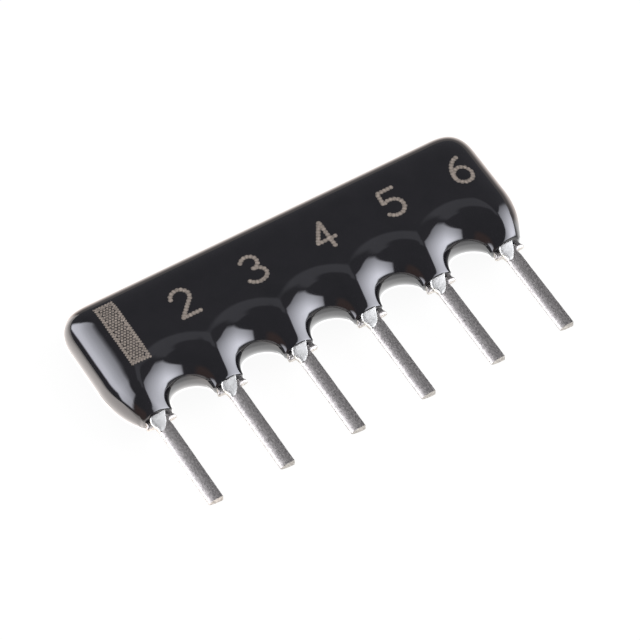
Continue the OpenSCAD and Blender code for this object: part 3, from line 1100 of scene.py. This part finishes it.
def studio_picture(x, y, z):
    """Brightness and warm glow of the studio in a direction, as mirror rays see it."""
    to_right = x * math.cos(studio_turn) + y * math.sin(studio_turn)
    away = y * math.cos(studio_turn) - x * math.sin(studio_turn)
    azimuth = calc("ARCTAN2", away, to_right) * degree
    from_left = calc("ARCTAN2", -1 * away, -1 * to_right) * degree
    elevation = calc("ARCSINE", z) * degree

    right_top = 60 - 0.41 * at_least(6 - azimuth, 0.0) - 1.3 * at_least(azimuth - 28, 0.0)
    right_low = 4.5 - 5 * share(azimuth / 12)
    off_middle = abs(azimuth + 6) / 62
    right_fade = (1 - off_middle ** 1.5) * (1 - 0.015 * at_least(elevation - 15, 0.0))
    right_window = soft_window(azimuth, -53, 53, 6) * soft_window(elevation, right_low, right_top, 5)
    right_box = right_window * right_fade * right_power

    left_side = -30 - 0.5 * at_least(elevation - 30, 0.0)
    left_low = 5 + 12 * share((from_left + 20) / 20) - 9 * share((from_left - 16) / 12)
    left_fade = (1 - (from_left / 70) * (from_left / 70)) * (1 - 0.022 * at_least(elevation - 28, 0.0))
    left_window = soft_window(from_left, left_side, 46, 6) * soft_window(elevation, left_low, 54, 5)
    left_box = left_window * left_fade * left_power

    ceiling_low = 66 - 8 * share((azimuth - 50) / 25)
    ceiling_window = soft_window(azimuth, 2, 104, 12) * soft_window(elevation, ceiling_low, 78, 4)
    warm = soft_window(azimuth, -134, -92, 14) * soft_window(elevation, 0, 28, 10)
    return right_box + left_box + ceiling_window * ceiling_power + room_level, warm


# %% World
plain_level = 0.75


def studio_world():
    world = bpy.data.worlds.new("studio")
    scene.world = world
    world.use_nodes = True
    tree = world.node_tree
    tree.nodes.clear()
    ray = tree.nodes.new("ShaderNodeTexCoord").outputs["Generated"]
    parts = add_node(tree, "ShaderNodeSeparateXYZ", Vector=ray).outputs
    room, warm = studio_picture(*[Number(part) for part in parts])
    tint = tree.nodes.new("ShaderNodeCombineColor")
    feed(tree, tint.inputs["Red"], room * 0.96 + warm * 0.22)
    feed(tree, tint.inputs["Green"], room * 0.97 + warm * 0.08)
    feed(tree, tint.inputs["Blue"], room * 1.07 + warm * 0.02)
    mirror = add_node(tree, "ShaderNodeBackground", Color=tint.outputs[0], Strength=1.0)
    plain = add_node(tree, "ShaderNodeBackground", Color=(1, 1, 1, 1), Strength=plain_level)
    white = add_node(tree, "ShaderNodeBackground", Color=(1, 1, 1, 1), Strength=1.0)
    path = tree.nodes.new("ShaderNodeLightPath")
    lit = mixed(tree, path.outputs["Is Glossy Ray"], plain, mirror)
    seen = at_most(Number(path.outputs["Is Camera Ray"]) + Number(path.outputs["Is Transmission Ray"]), 1.0)
    shown = mixed(tree, seen, lit, white)
    end = tree.nodes.new("ShaderNodeOutputWorld")
    tree.links.new(shown.outputs[0], end.inputs["Surface"])
    print("nodes in the studio:", len(tree.nodes))


studio_world()

# %% [markdown]
# One broad lamp on the right gives the dull surfaces a little direction. It is hidden from mirror rays,
# which already see the soft box there.

# %% Lamp
lamp = bpy.data.objects.new("key_lamp", bpy.data.lights.new("key_lamp", "AREA"))
lamp.data.shape = "SQUARE"
lamp.data.size = 0.2
lamp_place = Vector((0.24, -0.08, 0.22))
lamp.location = lamp_place
lamp.rotation_euler = lamp_place.to_track_quat("Z", "Y").to_euler()
lamp.data.energy = 0.35
lamp.visible_glossy = False
scene.collection.objects.link(lamp)
print("lamp power in watts:", round(lamp.data.energy, 2))

# %% [markdown]
# ## Bodies
# Each piece rides on the part's one body, with its finish, and the measured solids that it stands in for
# are hidden.

# %% Bodies and boxes
terminal_nodes = [f"terminal_{i}" for i in leads]
solder_nodes = [f"solder_joint_{i}" for i in leads]
for piece, slot, replaced in (
    (coat, "black_epoxy", ["epoxy_coat"]),
    (terminals, "tinned_strip", terminal_nodes),
    (solder, "solder", solder_nodes),
):
    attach(piece, "root")
    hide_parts(*replaced)
for mark in (bar, numbers):
    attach(mark, "root")

visual_low, visual_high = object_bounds()
boxes = {"cad": [list(cad_low), list(cad_high)], "visual": [list(visual_low), list(visual_high)]}
for name, (low, high) in boxes.items():
    print(name, "box in mm:", [round(v / MM, 3) for v in low], [round(v / MM, 3) for v in high])
